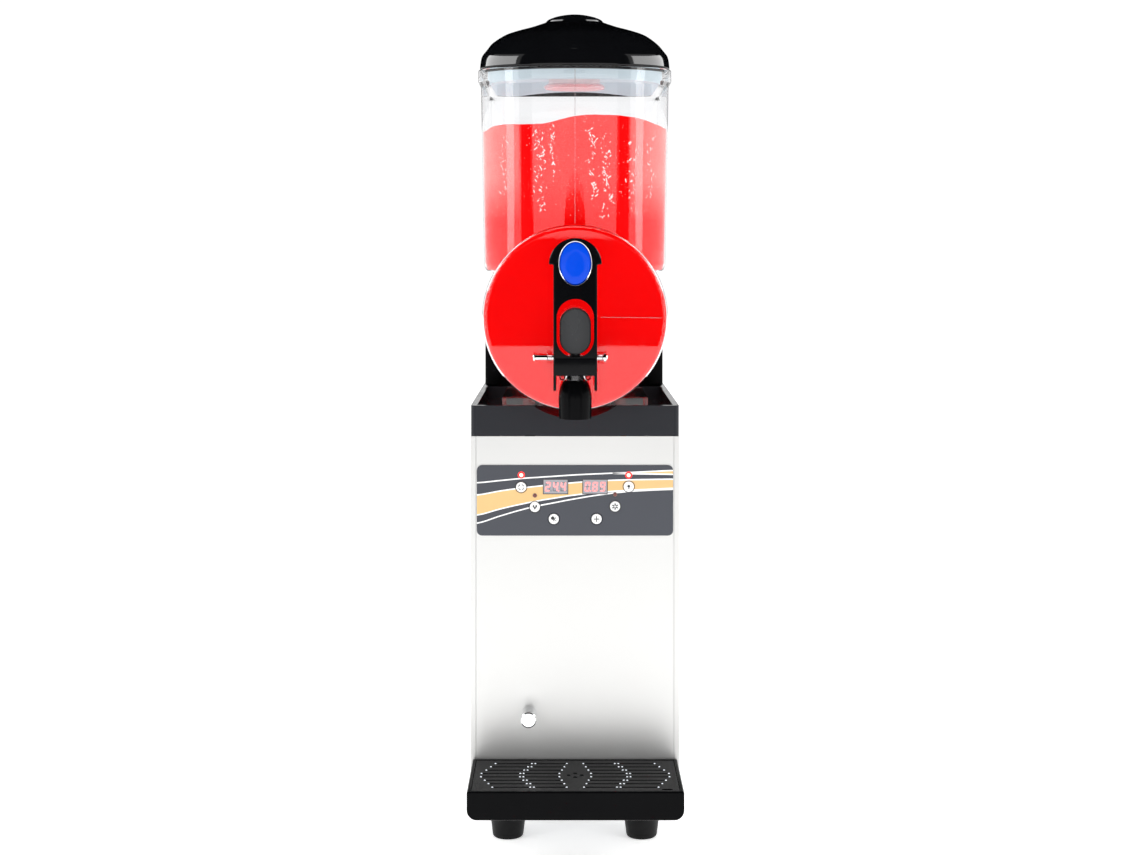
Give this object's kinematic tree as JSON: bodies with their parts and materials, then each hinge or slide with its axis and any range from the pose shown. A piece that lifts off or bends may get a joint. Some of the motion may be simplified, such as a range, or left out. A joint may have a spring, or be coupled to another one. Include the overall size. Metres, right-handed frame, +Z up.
{
  "type": "slushie machine",
  "caption": "Countertop frozen drink machine with a clear bowl on a cooled drum, push tap, lid, control panel and drip tray on a stainless base.",
  "frame": {"origin": "on the floor under the middle of the machine's bounding box", "axes": "+X to the machine's right as seen from the front, -Y out of the front, +Z up"},
  "size_m": [0.2, 0.49, 0.809],
  "materials": {
    "stainless": "fine brushed stainless sheet",
    "evaporator_steel": "smooth satin stainless",
    "zinc_plate": "dull zinc plate",
    "black_gloss": "glossy moulded black",
    "black_satin": "satin moulded black",
    "compressor_shell": "black painted shell",
    "rubber": "matte black rubber",
    "clear_plastic": "clear polished plastic",
    "lamp_clear": "clear lamp lens",
    "chrome": "bright chrome",
    "badge_blue": "domed blue",
    "grey_plastic": "dark grey moulded",
    "white_plastic": "white moulded",
    "overlay_print": "printed film, dark with a pale sweep",
    "display": "grey display window",
    "lamp_red": "lit red lens",
    "lamp_dark": "unlit lens",
    "copper": "copper pipe",
    "aluminium": "bare aluminium",
    "circuit_board": "green board"
  },
  "bodies": {
    "root": {"base_pan": "zinc_plate", "front_panel": "stainless", "left_side_panel": "stainless", "right_side_panel": "stainless", "rear_panel": "stainless", "front_left_foot": "rubber", "front_right_foot": "rubber", "rear_left_foot": "rubber", "rear_right_foot": "rubber", "top_collar": "black_gloss", "rear_housing": "black_satin", "control_overlay": "overlay_print", "control_board": "circuit_board", "left_display": "display", "right_display": "display", "run_indicator": "lamp_red", "cooling_indicator": "lamp_dark", "freeze_indicator": "lamp_dark", "light_indicator": "lamp_red", "drain_tube": "chrome", "drain_hose": "rubber", "tray_support": "stainless", "compressor": "compressor_shell", "condenser": "aluminium", "fan_shroud": "black_satin", "fan_motor": "black_satin", "discharge_pipe": "copper", "suction_line": "copper", "gear_motor": "zinc_plate", "evaporator_drum": "evaporator_steel", "shaft_seal": "rubber", "bowl_gasket": "rubber", "power_gland": "black_satin", "switch_body": "black_satin"},
    "bowl": {"bowl": "clear_plastic", "spout": "black_gloss", "hinge_pin": "chrome", "tap_spring": "chrome"},
    "lid": {"lid": "black_gloss", "lid_knob": "black_gloss", "lamp_housing": "white_plastic", "lamp_lens": "lamp_clear"},
    "handle": {"tap_handle": "black_gloss", "badge_ring": "chrome", "badge": "badge_blue"},
    "plunger": {"tap_plunger": "grey_plastic", "plunger_seal": "rubber"},
    "auger": {"auger": "white_plastic", "drive_shaft": "evaporator_steel"},
    "fan": {"fan_blades": "aluminium"},
    "tray": {"drip_tray": "black_satin"},
    "grille": {"drip_grille": "black_satin"},
    "drain_cap": {"drain_cap": "chrome"},
    "rocker": {"switch_rocker": "black_gloss"},
    "cycle_key": {"cycle_key": "white_plastic"},
    "cooling_key": {"cooling_key": "white_plastic"},
    "set_key": {"set_key": "white_plastic"},
    "plus_key": {"plus_key": "white_plastic"},
    "freeze_key": {"freeze_key": "white_plastic"},
    "lamp_key": {"lamp_key": "white_plastic"}
  },
  "joints": [
    {"name": "bowl_pull", "type": "slide", "parent": "root", "child": "bowl", "axis": [0, -1, 0], "range_m": [0, 0.26]},
    {"name": "lid_lift", "type": "slide", "parent": "bowl", "child": "lid", "axis": [0, 0, 1], "range_m": [0, 0.12]},
    {"name": "handle_push", "type": "hinge", "parent": "bowl", "child": "handle", "pos_m": [0, -0.172, 0.469], "axis": [-1, 0, 0], "range_deg": [0, 12], "stiffness_Nm_per_rad": 0.3, "springref_deg": -17.19},
    {"name": "plunger_lift", "type": "slide", "parent": "bowl", "child": "plunger", "axis": [0, 0, 1], "range_m": [0, 0.0065]},
    {"name": "auger_spin", "type": "hinge", "parent": "root", "child": "auger", "pos_m": [0, 0, 0.506], "axis": [0, -1, 0], "continuous": true},
    {"name": "fan_spin", "type": "hinge", "parent": "root", "child": "fan", "pos_m": [0, 0.1685, 0.125], "axis": [0, 1, 0], "continuous": true},
    {"name": "tray_pull", "type": "slide", "parent": "root", "child": "tray", "axis": [0, -1, 0], "range_m": [0, 0.11]},
    {"name": "grille_lift", "type": "slide", "parent": "tray", "child": "grille", "axis": [0, 0, 1], "range_m": [0, 0.03]},
    {"name": "drain_cap_pull", "type": "slide", "parent": "root", "child": "drain_cap", "axis": [0, -1, 0], "range_m": [0, 0.03]},
    {"name": "power_rocker", "type": "hinge", "parent": "root", "child": "rocker", "pos_m": [-0.055, 0.234, 0.235], "axis": [1, 0, 0], "range_deg": [-6, 6]},
    {"name": "cycle_key_press", "type": "slide", "parent": "root", "child": "cycle_key", "axis": [0, 1, 0], "range_m": [0, 0.0006], "stiffness_N_per_m": 300, "springref_m": -0.001},
    {"name": "cooling_key_press", "type": "slide", "parent": "root", "child": "cooling_key", "axis": [0, 1, 0], "range_m": [0, 0.0006], "stiffness_N_per_m": 300, "springref_m": -0.001},
    {"name": "set_key_press", "type": "slide", "parent": "root", "child": "set_key", "axis": [0, 1, 0], "range_m": [0, 0.0006], "stiffness_N_per_m": 300, "springref_m": -0.001},
    {"name": "plus_key_press", "type": "slide", "parent": "root", "child": "plus_key", "axis": [0, 1, 0], "range_m": [0, 0.0006], "stiffness_N_per_m": 300, "springref_m": -0.001},
    {"name": "freeze_key_press", "type": "slide", "parent": "root", "child": "freeze_key", "axis": [0, 1, 0], "range_m": [0, 0.0006], "stiffness_N_per_m": 300, "springref_m": -0.001},
    {"name": "lamp_key_press", "type": "slide", "parent": "root", "child": "lamp_key", "axis": [0, 1, 0], "range_m": [0, 0.0006], "stiffness_N_per_m": 300, "springref_m": -0.001}
  ],
  "couplings": [
    {"joint": "plunger_lift", "follows": "handle_push", "m_per_rad": 0.03}
  ]
}
